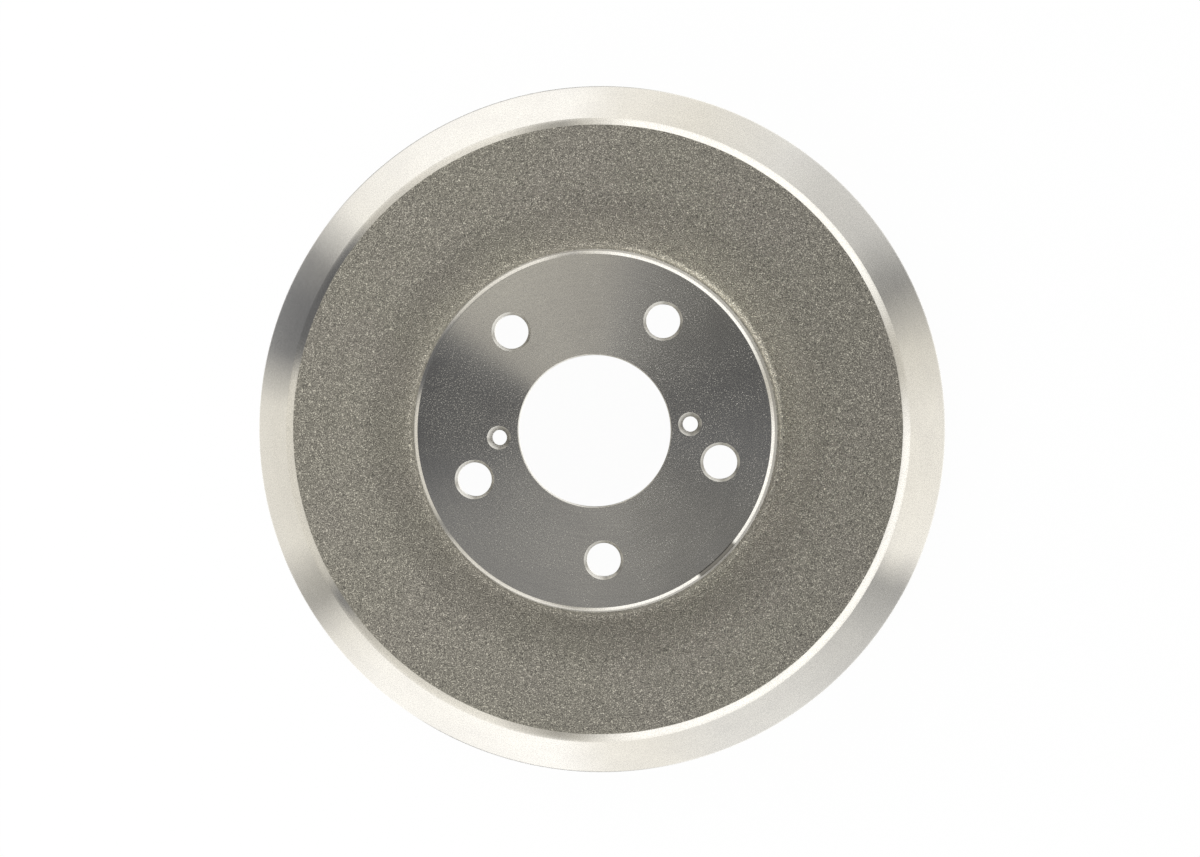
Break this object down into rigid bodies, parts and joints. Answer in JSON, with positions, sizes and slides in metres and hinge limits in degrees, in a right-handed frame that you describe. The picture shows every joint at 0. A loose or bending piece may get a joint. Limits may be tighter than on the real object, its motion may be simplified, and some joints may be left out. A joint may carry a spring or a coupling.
{
  "type": "brake drum",
  "caption": "One-piece cast brake drum with a turned wheel face, ring of stud holes, tapped jacking holes, rough cast web and flared turned rim.",
  "frame": {"origin": "on the drum's axis, in the plane of the open rim that it stands on", "axes": "+Z along the axis, out of the wheel face; X through the two jacking holes; one stud hole on -Y"},
  "size_m": [0.319, 0.319, 0.082],
  "materials": {
    "grey_iron": "bare grey iron, sand-cast on the web and turned bright on the wheel face, boss side, shoulder, outer wall, rim, seat and track"
  },
  "bodies": {
    "root": {"brake_drum": "grey_iron"}
  },
  "joints": []
}
